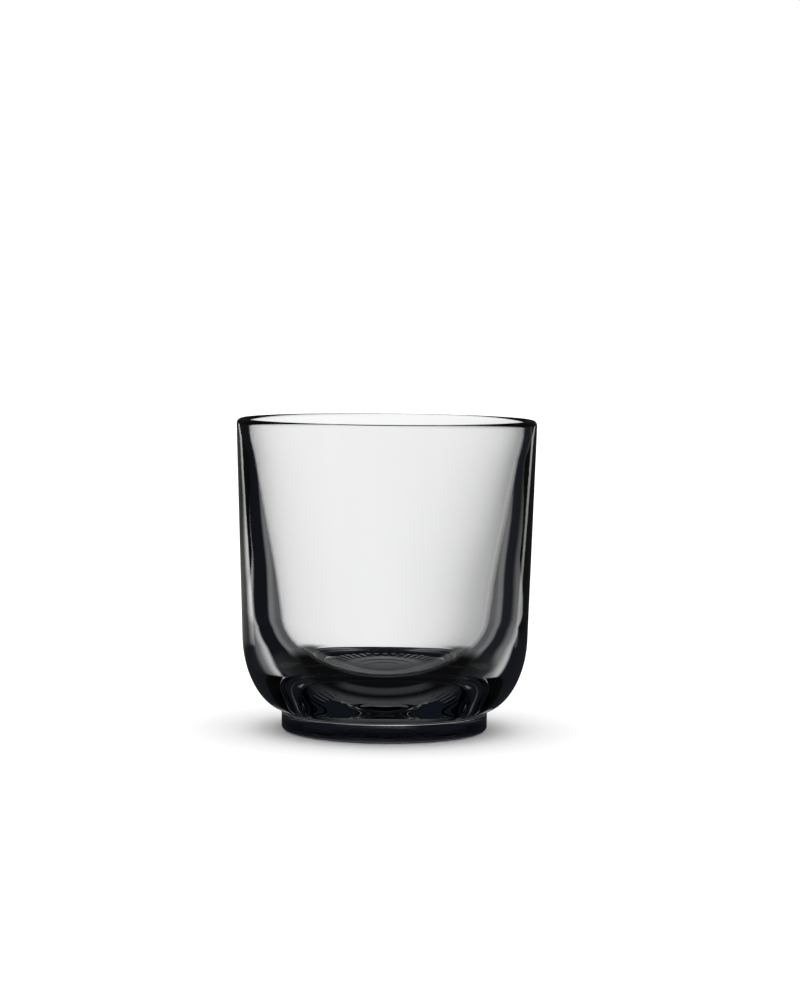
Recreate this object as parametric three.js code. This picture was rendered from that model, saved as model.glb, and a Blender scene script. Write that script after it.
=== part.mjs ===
// A press-moulded whiskey tumbler in smoke-grey glass: one thick-walled body of revolution on a stepped foot.
// Units are millimetres, +Z is up, and the origin is the centre of the foot's resting plane.
import * as THREE from "three";

// Driving dimensions.
const height = 88.4;
const sides = 64; // facets round the axis

const wall = {
  topRadius: 42.6, // outside, at topZ just under the lip
  topZ: 86.0,
  taper: 1.85 / 56, // radius lost for each millimetre of height
  bottomZ: 25.9, // where the straight wall runs into the rounded shoulder
};
const shoulder = { across: 12.5, down: 20.5, steps: 14 }; // semi-axes of the elliptical curve under the wall
const foot = { radius: 29.3, height: 5.5, cornerRadius: 1.0, filletRadius: 0.9 };
const recess = { radius: 24.5, depth: 1.3, crown: 0.35, rimWidth: 1.4, steps: 5 }; // hollow underneath
const lip = { thickness: 2.9, steps: 8 };

// The bowl's wall, inside, from the lip down to where its corner begins: [radius, height].
const bowlWall = [
  [39.35, 83.5],
  [38.15, 76],
  [36.35, 66],
  [34.2, 54],
  [32, 42],
  [30.7, 33.7],
];
const bowlFloor = {
  z: 12.0,
  wallSteps: 12,
  cornerSteps: 12,
  cornerBias: 0.88, // under 1 the corner turns sooner
};

// A point on an ellipse about [centreX, centreZ], at an angle from +X towards +Z.
const onEllipse = (centreX, centreZ, across, up, degrees) => {
  const angle = THREE.MathUtils.degToRad(degrees);
  return [centreX + across * Math.cos(angle), centreZ + up * Math.sin(angle)];
};

// Points along an elliptical arc, both ends included.
const arc = (centreX, centreZ, across, up, from, to, steps) =>
  Array.from({ length: steps + 1 }, (_, i) =>
    onEllipse(centreX, centreZ, across, up, from + ((to - from) * i) / steps),
  );

const wallRadius = (z) => wall.topRadius - wall.taper * (wall.topZ - z);

// The underside: a shallow hollow, deepest on the axis, inside a flat bearing ring.
function underside() {
  const dish = Array.from({ length: recess.steps + 1 }, (_, i) => {
    const share = i / recess.steps;
    return [recess.radius * share, recess.depth * (1 - share * share * recess.crown)];
  });
  const [edgeRadius, edgeHeight] = dish[recess.steps];
  return [
    ...dish,
    [edgeRadius + recess.rimWidth / 2, edgeHeight / 2],
    [edgeRadius + recess.rimWidth, 0],
    [foot.radius - foot.cornerRadius, 0],
  ];
}

// The foot's side: a rounded lower corner and a small fillet up into the shoulder.
function footSide() {
  const { radius, cornerRadius, filletRadius } = foot;
  const top = foot.height - filletRadius;
  return [
    ...arc(radius - cornerRadius, cornerRadius, cornerRadius, cornerRadius, -60, 0, 2),
    ...arc(radius + filletRadius, top, filletRadius, filletRadius, 180, 120, 3),
  ];
}

// The shoulder: a quarter ellipse that leaves the foot outwards and ends tangent to the wall.
function shoulderCurve() {
  const startRadius = wallRadius(wall.bottomZ);
  const centreX = startRadius - shoulder.across;
  const points = arc(centreX, wall.bottomZ, shoulder.across, shoulder.down, -90, 0, shoulder.steps).map(
    ([x, z]) => [x - wall.taper * (wall.bottomZ - z), z],
  );
  return points.filter(([x]) => x > foot.radius + foot.filletRadius);
}

// The lip: a full round over the wall's thickness.
function lipCurve() {
  const half = lip.thickness / 2;
  const centreX = wall.topRadius - half;
  return arc(centreX, height - half, half, half, 0, 180, lip.steps);
}

// The bowl's corner: its direction eases from the wall's slope to level, so its curvature has no jump.
function bowlCorner([startRadius, startZ], startLean) {
  const finePerStep = 8;
  const fineSteps = bowlFloor.cornerSteps * finePerStep;
  const leans = Array.from({ length: fineSteps }, (_, i) => {
    const share = THREE.MathUtils.smoothstep(((i + 0.5) / fineSteps) ** bowlFloor.cornerBias, 0, 1);
    return THREE.MathUtils.lerp(startLean, Math.PI / 2, share);
  });
  const drop = leans.reduce((sum, lean) => sum + Math.cos(lean), 0);
  const stepLength = (startZ - bowlFloor.z) / drop;
  const points = [];
  let radius = startRadius;
  let z = startZ;
  leans.forEach((lean, i) => {
    radius -= stepLength * Math.sin(lean);
    z -= stepLength * Math.cos(lean);
    if ((i + 1) % finePerStep === 0) points.push([radius, z]);
  });
  points[points.length - 1][1] = bowlFloor.z;
  return points;
}

// The bowl: the tapering wall, the broad corner and a flat floor on the axis.
function bowlCurve() {
  const wallCurve = new THREE.SplineCurve(bowlWall.map(([x, y]) => new THREE.Vector2(x, y)));
  const side = wallCurve.getPoints(bowlFloor.wallSteps).map(({ x, y }) => [x, y]);
  const [aboveRadius, aboveZ] = bowlWall[bowlWall.length - 2];
  const [endRadius, endZ] = bowlWall[bowlWall.length - 1];
  const lean = Math.atan2(aboveRadius - endRadius, aboveZ - endZ);
  return [...side, ...bowlCorner([endRadius, endZ], lean), [0, bowlFloor.z]];
}

const profile = [...underside(), ...footSide(), ...shoulderCurve(), ...lipCurve(), ...bowlCurve()].map(
  ([x, z]) => new THREE.Vector2(x, z),
);

const glass = new THREE.MeshStandardMaterial({
  color: 0x5c6063,
  roughness: 0.03,
  metalness: 0,
  transparent: true,
  opacity: 0.45,
});

const body = new THREE.Mesh(new THREE.LatheGeometry(profile, sides), glass);
body.name = "glass_body";
body.rotation.x = Math.PI / 2; // LatheGeometry turns its profile about Y

const tumbler = new THREE.Group();
tumbler.add(body);

export default tumbler;
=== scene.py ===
import math

import bpy
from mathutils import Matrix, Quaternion, Vector


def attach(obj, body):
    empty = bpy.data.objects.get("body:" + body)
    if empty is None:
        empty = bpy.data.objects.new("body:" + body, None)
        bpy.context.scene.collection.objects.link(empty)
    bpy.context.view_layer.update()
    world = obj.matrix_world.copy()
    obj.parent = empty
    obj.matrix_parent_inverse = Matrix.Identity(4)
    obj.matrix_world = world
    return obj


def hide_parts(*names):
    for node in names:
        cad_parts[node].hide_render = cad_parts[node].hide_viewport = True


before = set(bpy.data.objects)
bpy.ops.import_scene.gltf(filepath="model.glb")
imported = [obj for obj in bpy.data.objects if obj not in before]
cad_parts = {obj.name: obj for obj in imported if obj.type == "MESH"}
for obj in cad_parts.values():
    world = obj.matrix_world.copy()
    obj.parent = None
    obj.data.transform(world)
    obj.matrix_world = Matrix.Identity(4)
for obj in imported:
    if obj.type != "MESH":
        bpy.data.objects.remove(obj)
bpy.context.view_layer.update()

MM = 0.001

# ---------------------------------------------------------------- driving dimensions, millimetres

SIDES = 280  # facets round the axis, a multiple of the ribs

# Steps along each part of the profile, more where its curve bends the light most.
RECESS_STEPS = 49
RECESS_RIM_STEPS = 12
SMALL_ARC_STEPS = 10
SHOULDER_STEPS = 90
OUTER_WALL_STEPS = 20
LIP_STEPS = 24
BOWL_WALL_STEPS = 64
CORNER_STEPS = 64
BOWL_FLOOR_STEPS = 6

WALL_TOP_RADIUS = 42.6
WALL_TOP_Z = 86.0
WALL_TAPER = 1.85 / 56
HEIGHT = 88.4

SHOULDER_TOP_Z = 25.9
SHOULDER_ACROSS = 12.5
SHOULDER_DOWN = 20.5

FOOT_RADIUS = 29.3
FOOT_CORNER = 1.0
FOOT_FILLET = 0.9

RECESS_RADIUS = 24.5
RECESS_DEPTH = 1.3
RECESS_CROWN = 0.35
RECESS_RIM = 1.4

# Raised marks inside the hollow: two rings and a circle of short ribs.
MARK_RINGS = [8.0, 11.5]
MARK_RING_WIDTH = 1.1
MARK_RING_HEIGHT = 0.08
RIB_COUNT = 40
RIB_INNER_RADIUS = 15.0
RIB_OUTER_RADIUS = 20.5
RIB_EDGE = 1.0
RIB_HEIGHT = 0.12

LIP_THICKNESS = 2.9

BOWL_WALL = [(39.35, 83.5), (38.15, 76.0), (36.35, 66.0), (34.2, 54.0), (32.0, 42.0), (30.7, 33.7)]
BOWL_FLOOR_Z = 12.0
CORNER_BIAS = 0.88  # under 1 turns sooner

GLASS_IOR = 1.517
TINT_COLOUR = (0.82, 0.83, 0.87)
TINT_DENSITY = 3.0  # per metre
# Pressed glass is never quite even: a broad waviness, then finer marks of the mould.
SURFACE_NOISE = (
    {"scale": 45.0, "detail": 1.0, "height": 0.00004},
    {"scale": 260.0, "detail": 2.0, "height": 0.000003},
)


# ---------------------------------------------------------------- profile

def ease(start, end, value):
    """0 at start, 1 at end, with level ends."""
    share = min(max((value - start) / (end - start), 0.0), 1.0)
    return share * share * (3 - 2 * share)


def arc(centre_x, centre_z, across, up, start, end, steps):
    """Points on an elliptical arc, in degrees from +X towards +Z, both ends included."""
    points = []
    for i in range(steps + 1):
        angle = math.radians(start + (end - start) * i / steps)
        points.append((centre_x + across * math.cos(angle), centre_z + up * math.sin(angle)))
    return points


def wall_radius(z):
    return WALL_TOP_RADIUS - WALL_TAPER * (WALL_TOP_Z - z)


def spline(points, steps):
    """A natural cubic spline through (radius, z) points from top to bottom, sampled evenly in z."""
    radii = [radius for radius, _ in points]
    heights = [z for _, z in points]
    count = len(points)
    gaps = [heights[i + 1] - heights[i] for i in range(count - 1)]
    slopes = [(radii[i + 1] - radii[i]) / gaps[i] for i in range(count - 1)]
    # The curve's bend at each point, solved forwards and then backwards.
    upper, right, bends = [0.0] * count, [0.0] * count, [0.0] * count
    for i in range(1, count - 1):
        pivot = 2 * (gaps[i - 1] + gaps[i]) - gaps[i - 1] * upper[i - 1]
        upper[i] = gaps[i] / pivot
        right[i] = (3 * (slopes[i] - slopes[i - 1]) - gaps[i - 1] * right[i - 1]) / pivot
    for i in range(count - 2, -1, -1):
        bends[i] = right[i] - upper[i] * bends[i + 1]
    curve = []
    for step in range(steps + 1):
        z = heights[0] + (heights[-1] - heights[0]) * step / steps
        i = max(k for k in range(count - 1) if heights[k] >= z - 1e-9)
        start = slopes[i] - gaps[i] * (2 * bends[i] + bends[i + 1]) / 3
        growth = (bends[i + 1] - bends[i]) / (3 * gaps[i])
        past = z - heights[i]
        curve.append((radii[i] + start * past + bends[i] * past ** 2 + growth * past ** 3, z))
    return curve


def underside():
    """The shallow hollow under the foot, with a soft step down to the bearing ring."""
    points = []
    for i in range(RECESS_STEPS + 1):
        share = i / RECESS_STEPS
        points.append((RECESS_RADIUS * share, RECESS_DEPTH * (1 - RECESS_CROWN * share * share)))
    edge_radius, edge_z = points[-1]
    for i in range(1, RECESS_RIM_STEPS + 1):
        share = i / RECESS_RIM_STEPS
        points.append((edge_radius + RECESS_RIM * share, edge_z * (1 - ease(0, 1, share))))
    return points


def foot_and_shoulder():
    """Foot corner, foot side, the fillet and the elliptical shoulder, up to the straight wall."""
    foot_corner_x = FOOT_RADIUS - FOOT_CORNER
    foot_corner = arc(foot_corner_x, FOOT_CORNER, FOOT_CORNER, FOOT_CORNER, -90, 0, SMALL_ARC_STEPS)
    centre_x = wall_radius(SHOULDER_TOP_Z) - SHOULDER_ACROSS
    shoulder = []
    for x, z in arc(centre_x, SHOULDER_TOP_Z, SHOULDER_ACROSS, SHOULDER_DOWN, -90, 0, SHOULDER_STEPS):
        shoulder.append((x - WALL_TAPER * (SHOULDER_TOP_Z - z), z))
    # The fillet's circle touches the foot's side and the shoulder.
    fillet_x = FOOT_RADIUS + FOOT_FILLET
    best = None
    for i in range(1, len(shoulder) - 1):
        (x0, z0), (x1, z1) = shoulder[i - 1], shoulder[i + 1]
        length = math.hypot(x1 - x0, z1 - z0)
        centre = (
            shoulder[i][0] + (z1 - z0) / length * FOOT_FILLET,
            shoulder[i][1] - (x1 - x0) / length * FOOT_FILLET,
        )
        miss = abs(centre[0] - fillet_x)
        if best is None or miss < best[0]:
            best = (miss, i, centre)
    _, touch, centre = best
    end = math.degrees(math.atan2(shoulder[touch][1] - centre[1], shoulder[touch][0] - centre[0]))
    fillet = arc(fillet_x, centre[1], FOOT_FILLET, FOOT_FILLET, 180, end, SMALL_ARC_STEPS)
    return foot_corner + fillet + shoulder[touch + 1:]


def outer_wall():
    top = HEIGHT - LIP_THICKNESS / 2
    points = []
    for i in range(1, OUTER_WALL_STEPS):
        z = SHOULDER_TOP_Z + (top - SHOULDER_TOP_Z) * i / OUTER_WALL_STEPS
        points.append((wall_radius(z), z))
    return points


def lip():
    half = LIP_THICKNESS / 2
    return arc(WALL_TOP_RADIUS - half, HEIGHT - half, half, half, 0, 180, LIP_STEPS)


def bowl_corner(start_radius, start_z, start_lean):
    """From the bowl's wall to its floor; the direction eases to level, so the curvature has no jump."""
    leans = []
    for i in range(CORNER_STEPS):
        share = ((i + 0.5) / CORNER_STEPS) ** CORNER_BIAS
        leans.append(start_lean + (math.pi / 2 - start_lean) * ease(0, 1, share))
    length = (start_z - BOWL_FLOOR_Z) / sum(math.cos(lean) for lean in leans)
    points = []
    radius, z = start_radius, start_z
    for lean in leans:
        radius -= length * math.sin(lean)
        z -= length * math.cos(lean)
        points.append((radius, z))
    return points


def bowl():
    """The bowl's wall from under the lip, its broad corner and its flat floor."""
    start = (WALL_TOP_RADIUS - LIP_THICKNESS, HEIGHT - LIP_THICKNESS / 2)
    side = spline([start] + BOWL_WALL, BOWL_WALL_STEPS)
    (above_radius, above_z), (end_radius, end_z) = side[-2:]
    lean = math.atan2(above_radius - end_radius, above_z - end_z)
    turn = bowl_corner(end_radius, end_z, lean)
    floor_radius = turn[-1][0]
    flat = []
    for i in range(1, BOWL_FLOOR_STEPS + 1):
        flat.append((floor_radius * (1 - i / BOWL_FLOOR_STEPS), BOWL_FLOOR_Z))
    return side[1:] + turn + flat


def mark_height(radius, angle):
    """How far the marks inside the hollow stand down towards the table."""
    height = 0.0
    for ring in MARK_RINGS:
        height += MARK_RING_HEIGHT * (1 - ease(0, MARK_RING_WIDTH, abs(radius - ring)))
    band = ease(RIB_INNER_RADIUS, RIB_INNER_RADIUS + RIB_EDGE, radius)
    band *= 1 - ease(RIB_OUTER_RADIUS - RIB_EDGE, RIB_OUTER_RADIUS, radius)
    wave = 0.5 + 0.5 * math.cos(RIB_COUNT * angle)
    return height + RIB_HEIGHT * band * ease(0.2, 0.8, wave)


profile = underside() + foot_and_shoulder() + outer_wall() + lip() + bowl()


# ---------------------------------------------------------------- the glass

def lathe(name, points):
    """A closed body of revolution whose profile starts and ends on the axis."""
    ring = points[1:-1]
    vertices = [(0, 0, points[0][1] * MM), (0, 0, points[-1][1] * MM)]
    for side in range(SIDES):
        angle = 2 * math.pi * side / SIDES
        for i, (radius, z) in enumerate(ring):
            if i < RECESS_STEPS:
                z -= mark_height(radius, angle)
            vertices.append((radius * MM * math.cos(angle), radius * MM * math.sin(angle), z * MM))
    count = len(ring)
    faces = []
    for side in range(SIDES):
        here = 2 + side * count
        there = 2 + (side + 1) % SIDES * count
        faces.append((0, there, here))
        faces += [(here + i, there + i, there + i + 1, here + i + 1) for i in range(count - 1)]
        faces.append((here + count - 1, there + count - 1, 1))
    mesh = bpy.data.meshes.new(name)
    mesh.from_pydata(vertices, [], faces)
    mesh.shade_smooth()
    piece = bpy.data.objects.new(name, mesh)
    bpy.context.scene.collection.objects.link(piece)
    return piece


def smoke_glass():
    material = bpy.data.materials.new("smoke_glass")
    material.use_nodes = True
    nodes, links = material.node_tree.nodes, material.node_tree.links
    shader = nodes["Principled BSDF"]
    shader.inputs["Base Color"].default_value = (1, 1, 1, 1)
    shader.inputs["Roughness"].default_value = 0.0
    shader.inputs["IOR"].default_value = GLASS_IOR
    shader.inputs["Transmission Weight"].default_value = 1.0
    place = nodes.new("ShaderNodeTexCoord").outputs["Object"]
    normal = None
    for layer in SURFACE_NOISE:
        noise = nodes.new("ShaderNodeTexNoise")
        noise.inputs["Scale"].default_value = layer["scale"]
        noise.inputs["Detail"].default_value = layer["detail"]
        links.new(place, noise.inputs["Vector"])
        bump = nodes.new("ShaderNodeBump")
        bump.inputs["Strength"].default_value = 1.0
        bump.inputs["Distance"].default_value = layer["height"]
        links.new(noise.outputs["Fac"], bump.inputs["Height"])
        if normal is not None:
            links.new(normal, bump.inputs["Normal"])
        normal = bump.outputs["Normal"]
    links.new(normal, shader.inputs["Normal"])
    tint = nodes.new("ShaderNodeVolumeAbsorption")
    tint.inputs["Color"].default_value = (*TINT_COLOUR, 1)
    tint.inputs["Density"].default_value = TINT_DENSITY
    links.new(tint.outputs["Volume"], nodes["Material Output"].inputs["Volume"])
    return material


tumbler = lathe("tumbler", profile)
tumbler.data.materials.append(smoke_glass())
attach(tumbler, "root")
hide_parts("glass_body")


# ---------------------------------------------------------------- shader helpers

class NodeMath:
    """Short names for the maths nodes of one node tree. A share runs from 0 to 1."""

    def __init__(self, tree):
        self.nodes, self.links = tree.nodes, tree.links

    def put(self, socket, value):
        if isinstance(value, (int, float)):
            socket.default_value = value
        else:
            self.links.new(value, socket)

    def op(self, operation, a, b=0.0):
        node = self.nodes.new("ShaderNodeMath")
        node.operation = operation
        self.put(node.inputs[0], a)
        self.put(node.inputs[1], b)
        return node.outputs[0]

    def times(self, first, *others):
        product = first
        for other in others:
            product = self.op("MULTIPLY", product, other)
        return product

    def over(self, value, limit):
        """1 where value is greater than limit, else 0."""
        return self.op("GREATER_THAN", value, limit)

    def ramp(self, value, start, end, low=0.0, high=1.0):
        """low before start and high after end, with a smooth step between them."""
        node = self.nodes.new("ShaderNodeMapRange")
        node.interpolation_type = "SMOOTHSTEP"
        self.put(node.inputs["Value"], value)
        node.inputs["From Min"].default_value = start
        node.inputs["From Max"].default_value = end
        node.inputs["To Min"].default_value = low
        node.inputs["To Max"].default_value = high
        return node.outputs["Result"]

    def mix(self, share, start, end):
        """start where share is 0, end where it is 1."""
        rest = self.op("MULTIPLY", self.op("SUBTRACT", 1.0, share), start)
        return self.op("ADD", self.op("MULTIPLY", share, end), rest)


def empty_tree(owner):
    """The node tree of a material or world, with nothing in it."""
    owner.use_nodes = True
    owner.node_tree.nodes.clear()
    return owner.node_tree


# ---------------------------------------------------------------- floor and the card under the glass: painted shade and painted light seen in the glass

FLOOR_RADIUS = 4.0
FLOOR_Z = -0.0002
FLOOR_COLOUR = (0.92, 0.92, 0.92)
FLOOR_ROUGHNESS = 0.9

CARD_RADIUS = 0.051
CARD_SOLID_RADIUS = 0.043
CARD_Z = -0.0006
# Painted shade: the card's black stands in for the shadowed floor next to the glass.
PAINTED_SHADE_BLACK = 0.003

# The dim glow on the card is painted light, a painted highlight in the base: it grows towards the back edge
# of the bowl's floor and stops there.
GLOW_COLOUR = (0.93, 0.97, 1.0)
GLOW_NEAR = 0.05
GLOW_FAR = 0.19
GLOW_SIDE = 0.15
FRONT_GLOW = 0.03

DISC_SIDES = 96


def disc(name, radius, z):
    rim = []
    for i in range(DISC_SIDES):
        angle = 2 * math.pi * i / DISC_SIDES
        rim.append((radius * math.cos(angle), radius * math.sin(angle), z))
    mesh = bpy.data.meshes.new(name)
    mesh.from_pydata(rim, [], [tuple(range(DISC_SIDES))])
    piece = bpy.data.objects.new(name, mesh)
    bpy.context.scene.collection.objects.link(piece)
    return piece


def pale_floor():
    material = bpy.data.materials.new("pale_floor")
    material.use_nodes = True
    shader = material.node_tree.nodes["Principled BSDF"]
    shader.inputs["Base Color"].default_value = (*FLOOR_COLOUR, 1)
    shader.inputs["Roughness"].default_value = FLOOR_ROUGHNESS
    shader.inputs["Specular IOR Level"].default_value = 0.0
    return material


def painted_light_glow(maths, across, back):
    """The painted light's strength from the distance off the middle line and the distance behind the axis,
    metres.
    """
    glow = maths.times(
        maths.ramp(back, -0.012, -0.005),
        maths.ramp(back, -0.004, 0.026, GLOW_NEAR, GLOW_FAR),
        maths.ramp(back, 0.026, 0.030, 1.0, 0.0),
        maths.ramp(across, 0.010, 0.027, 1.0, GLOW_SIDE),
    )
    # A second, fainter patch of painted light nearer the front.
    front = maths.times(
        maths.ramp(back, -0.0205, -0.018),
        maths.ramp(back, -0.016, -0.012, FRONT_GLOW, 0.0),
        maths.ramp(across, 0.012, 0.020, 1.0, 0.0),
    )
    return maths.op("ADD", glow, front)


def painted_shade_card():
    """Painted shade: black in the middle for the shadowed floor close to the glass, fading to nothing at the
    rim, with a dim glow of painted light under the bowl's floor.
    """
    material = bpy.data.materials.new("painted_shade_card")
    maths = NodeMath(empty_tree(material))
    place = maths.nodes.new("ShaderNodeNewGeometry").outputs["Position"]
    split = maths.nodes.new("ShaderNodeSeparateXYZ")
    maths.links.new(place, split.inputs[0])
    distance = maths.nodes.new("ShaderNodeVectorMath")
    distance.operation = "LENGTH"
    maths.links.new(place, distance.inputs[0])
    fade = maths.ramp(distance.outputs["Value"], CARD_SOLID_RADIUS, CARD_RADIUS)

    across = maths.op("ABSOLUTE", split.outputs["X"])
    glow = painted_light_glow(maths, across, split.outputs["Y"])
    # The card glows with painted light, though it is no lamp.
    light = maths.nodes.new("ShaderNodeEmission")
    light.inputs["Color"].default_value = (*GLOW_COLOUR, 1)
    maths.put(light.inputs["Strength"], maths.op("ADD", glow, PAINTED_SHADE_BLACK))

    blend = maths.nodes.new("ShaderNodeMixShader")
    clear = maths.nodes.new("ShaderNodeBsdfTransparent")
    output = maths.nodes.new("ShaderNodeOutputMaterial")
    maths.put(blend.inputs[0], fade)
    maths.links.new(light.outputs[0], blend.inputs[1])
    maths.links.new(clear.outputs[0], blend.inputs[2])
    maths.links.new(blend.outputs[0], output.inputs["Surface"])
    return material


# The floor is seen only directly, the card only in or through the glass, where its black is painted shade
# standing in for the floor's shadow near the glass.
floor = disc("floor", FLOOR_RADIUS, FLOOR_Z)
floor.data.materials.append(pale_floor())
floor.visible_glossy = False
floor.visible_transmission = False

card = disc("painted_shade_card", CARD_RADIUS, CARD_Z)
card.data.materials.append(painted_shade_card())
card.visible_camera = False
card.visible_diffuse = False
card.visible_shadow = False


# ---------------------------------------------------------------- studio light

BACKDROP = 1.03
BACKDROP_AROUND = 0.95  # of the backdrop's strength, beyond its sides
BACKDROP_UNDER = 0.02
FLOOR_LIGHT_LOW = 0.5
FLOOR_LIGHT_HIGH = 2.1
ROOM = 0.004
CEILING = 0.12
OUTSIDE_ROOM = 0.02
DUSK = 0.0065
WHITE = (1.0, 1.0, 1.0)
DUSK_COLOUR = (0.25, 0.45, 1.0)

STRIP_LIGHT_LEVEL = -0.061  # the direction's z at which the leaning strips keep their stated bearings
STRIP_LIGHT_LEAN = 4.0

MAX_BOUNCES = 32
GLOSSY_BOUNCES = 5


def sin_deg(degrees):
    return math.sin(math.radians(degrees))


class Studio:
    """The light from each direction, as nodes. Bearings run from +Y towards +X; all angles are degrees."""

    def __init__(self, tree):
        self.maths = NodeMath(tree)
        coordinates = self.maths.nodes.new("ShaderNodeTexCoord")
        split = self.maths.nodes.new("ShaderNodeSeparateXYZ")
        self.maths.links.new(coordinates.outputs["Generated"], split.inputs[0])
        x, y, self.z = split.outputs
        level = self.maths.op("SQRT", self.maths.op("SUBTRACT", 1.0, self.maths.times(self.z, self.z)))
        self.sideways = self.maths.op("DIVIDE", self.maths.op("ABSOLUTE", x), level)
        self.bearing = self.maths.op("ARCTAN2", x, y)
        self.path = self.maths.nodes.new("ShaderNodeLightPath").outputs

    def across(self, start, end, low=0.0, high=1.0, bearing=None):
        """A ramp over the bearing."""
        bearing = self.bearing if bearing is None else bearing
        return self.maths.ramp(bearing, math.radians(start), math.radians(end), low, high)

    def upwards(self, start, end, low=0.0, high=1.0):
        """A ramp over the height above the horizon."""
        return self.maths.ramp(self.z, sin_deg(start), sin_deg(end), low, high)

    def off_axis(self, start, end, low=0.0, high=1.0):
        """A ramp over the angle off the front-to-back line, on either side and both ways."""
        return self.maths.ramp(self.sideways, sin_deg(start), sin_deg(end), low, high)

    def between(self, low, low_full, high_full, high):
        """1 between two heights, fading to 0 outside them."""
        return self.maths.times(self.upwards(low, low_full), self.upwards(high_full, high, 1.0, 0.0))

    def backdrop(self):
        """Straight through the bowl: pale, dimmer towards both sides, and pale again beyond them."""
        ahead = self.maths.times(
            self.upwards(-75, -60, BACKDROP_UNDER, BACKDROP),
            self.across(-2, 20, 1.0, 0.55),
            self.across(20, 45, 1.0, 0.85),
            self.across(-14, 0, 0.94, 1.0),
            self.across(-60, -30, 0.4, 1.0),
        )
        around = self.upwards(-75, -60, BACKDROP_UNDER, BACKDROP * BACKDROP_AROUND)
        beyond = self.across(50, 65, bearing=self.maths.op("ABSOLUTE", self.bearing))
        return self.maths.mix(beyond, ahead, around)

    def reflected_once(self):
        """A dark room with a soft strip behind the glass and dim side walls."""
        strip = self.maths.times(
            self.between(-50, -36, -1, 5),
            self.across(-14, -6),
            self.across(-6, 10, 0.58, 0.18),
            self.across(10, 26, 1.0, 0.04),
        )
        walls = self.maths.times(
            self.off_axis(39, 45),
            self.between(-62, -50, -12, -6),
            self.off_axis(47, 55, 0.17, 0.09),
        )
        return self.maths.op("ADD", self.maths.op("ADD", strip, walls), ROOM)

    def reflected_more(self):
        """The same dark room with a narrow low light."""
        light = self.maths.times(self.off_axis(8, 20, 0.18, 0.0), self.between(-58, -46, -12, 2))
        return self.maths.op("ADD", light, ROOM)

    def outer_surface(self):
        """Two leaning strip lights, a strong one on the left and a weak one on the right."""
        raised = self.maths.op("SUBTRACT", self.z, STRIP_LIGHT_LEVEL)
        lean = self.maths.times(raised, STRIP_LIGHT_LEAN)
        from_left = self.maths.op("SUBTRACT", self.bearing, lean)
        broad = self.across(-29.5, -19, 1.0, 0.07, bearing=from_left)
        slim = self.across(-30, -24, 0.55, 0.02, bearing=from_left)
        left = self.maths.times(
            self.across(-32, -30.5, bearing=from_left),
            self.maths.mix(self.upwards(-6.4, -4.6), broad, slim),
            self.across(0, 5, 2.6, 0.0),
        )
        from_right = self.maths.op("ADD", self.bearing, lean)
        right = self.maths.times(
            self.across(26.5, 28.5, bearing=from_right),
            self.across(31.5, 33, 1.0, 0.0, bearing=from_right),
        )
        lights = self.maths.op("ADD", left, right)
        lights = self.maths.times(lights, self.between(-9.5, -6.2, -3.5, 1.0))
        return self.maths.op("ADD", lights, OUTSIDE_ROOM)

    def strength(self):
        """Picks the light by how often the ray was reflected and how many surfaces it passed through."""
        mix, over = self.maths.mix, self.maths.over
        reflections = self.path["Glossy Depth"]
        surfaces = self.path["Transmission Depth"]
        backdrop = self.backdrop()
        inside = mix(over(reflections, 1.5), self.reflected_once(), self.reflected_more())
        # Rays through two surfaces passed the lip, the far wall above the near lip or the foot. Those through
        # the foot leave nearly level and see the room, and those that leave steeply upwards see the ceiling.
        one_wall = mix(self.upwards(-4.0, -3.0), backdrop, inside)
        one_wall = mix(self.upwards(8, 16), one_wall, CEILING)
        straight = mix(over(surfaces, 2.5), one_wall, backdrop)
        reflected = mix(self.through_glass(), self.outer_surface(), inside)
        seen = mix(over(reflections, 0.5), straight, reflected)
        from_floor = over(self.path["Diffuse Depth"], 0.5)
        seen = mix(from_floor, seen, self.floor_light())
        return mix(self.path["Is Camera Ray"], seen, 1.0)

    def through_glass(self):
        return self.maths.over(self.path["Transmission Depth"], 0.5)

    def floor_light(self):
        """Stronger from above, and none through the glass, so that it leaves a soft contact shadow."""
        light = self.maths.ramp(self.z, 0.3, 0.95, FLOOR_LIGHT_LOW, FLOOR_LIGHT_HIGH)
        return self.maths.mix(self.through_glass(), light, 0.0)

    def background(self, colour, strength):
        node = self.maths.nodes.new("ShaderNodeBackground")
        node.inputs["Color"].default_value = (*colour, 1)
        self.maths.put(node.inputs["Strength"], strength)
        return node.outputs[0]


def studio_world():
    """The studio's white light, and slightly blue dusk in the unlit parts seen through the glass."""
    world = bpy.data.worlds.new("studio")
    tree = empty_tree(world)
    studio = Studio(tree)
    dusk_strength = studio.maths.times(studio.through_glass(), DUSK)
    both = tree.nodes.new("ShaderNodeAddShader")
    tree.links.new(studio.background(WHITE, studio.strength()), both.inputs[0])
    tree.links.new(studio.background(DUSK_COLOUR, dusk_strength), both.inputs[1])
    output = tree.nodes.new("ShaderNodeOutputWorld")
    tree.links.new(both.outputs[0], output.inputs["Surface"])
    return world


scene = bpy.context.scene
scene.world = studio_world()
scene.view_settings.view_transform = "Standard"
scene.cycles.max_bounces = MAX_BOUNCES
scene.cycles.transmission_bounces = MAX_BOUNCES
scene.cycles.glossy_bounces = GLOSSY_BOUNCES


# ---------------------------------------------------------------- camera

LENS = 104.08  # with 36 mm on the frame's long side
SENSOR = 36
CAMERA_BACK = 0.820
CAMERA_UP = 0.1212
PITCH_DOWN = 0.068
TURN_RIGHT = 0.00476
ROLL_DEGREES = 0.55

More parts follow.
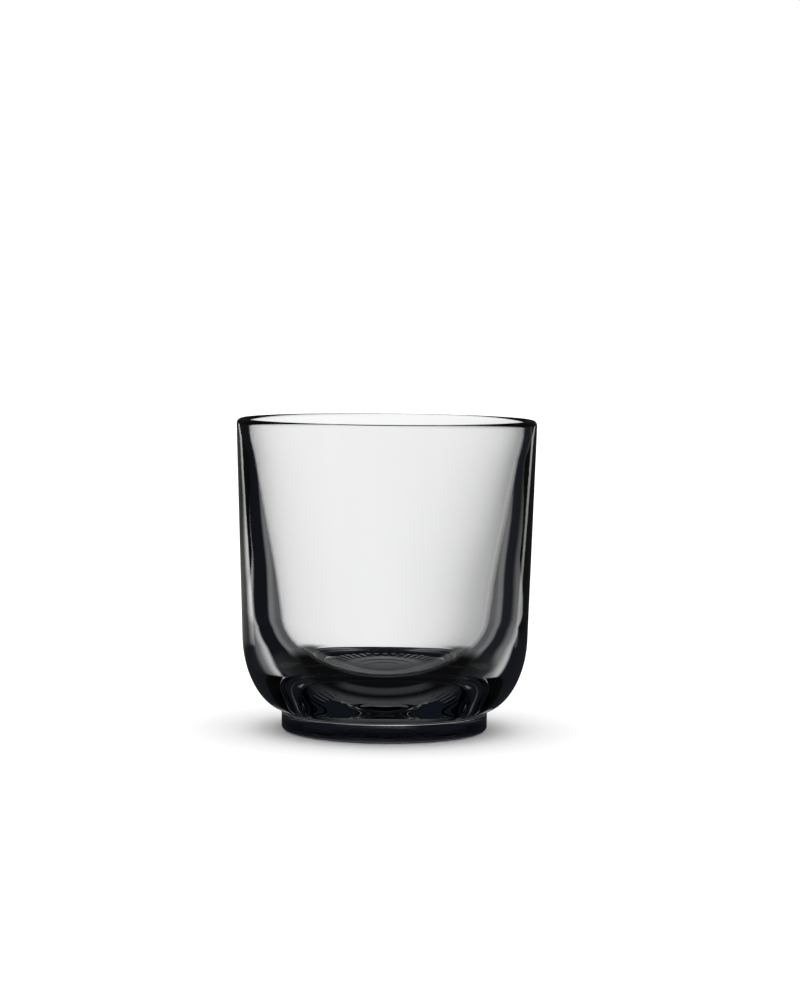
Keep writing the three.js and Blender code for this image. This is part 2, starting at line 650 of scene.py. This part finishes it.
camera_data = bpy.data.cameras.new("camera")
camera_data.sensor_width = SENSOR
camera_data.lens = LENS
camera = bpy.data.objects.new("camera", camera_data)
scene.collection.objects.link(camera)
scene.camera = camera
camera.location = (0, -CAMERA_BACK, CAMERA_UP)
ahead = Vector((
    math.sin(TURN_RIGHT) * math.cos(PITCH_DOWN),
    math.cos(TURN_RIGHT) * math.cos(PITCH_DOWN),
    -math.sin(PITCH_DOWN),
))
roll = Quaternion((0, 0, 1), math.radians(ROLL_DEGREES))
camera.rotation_mode = "QUATERNION"
camera.rotation_quaternion = ahead.to_track_quat("-Z", "Y") @ roll
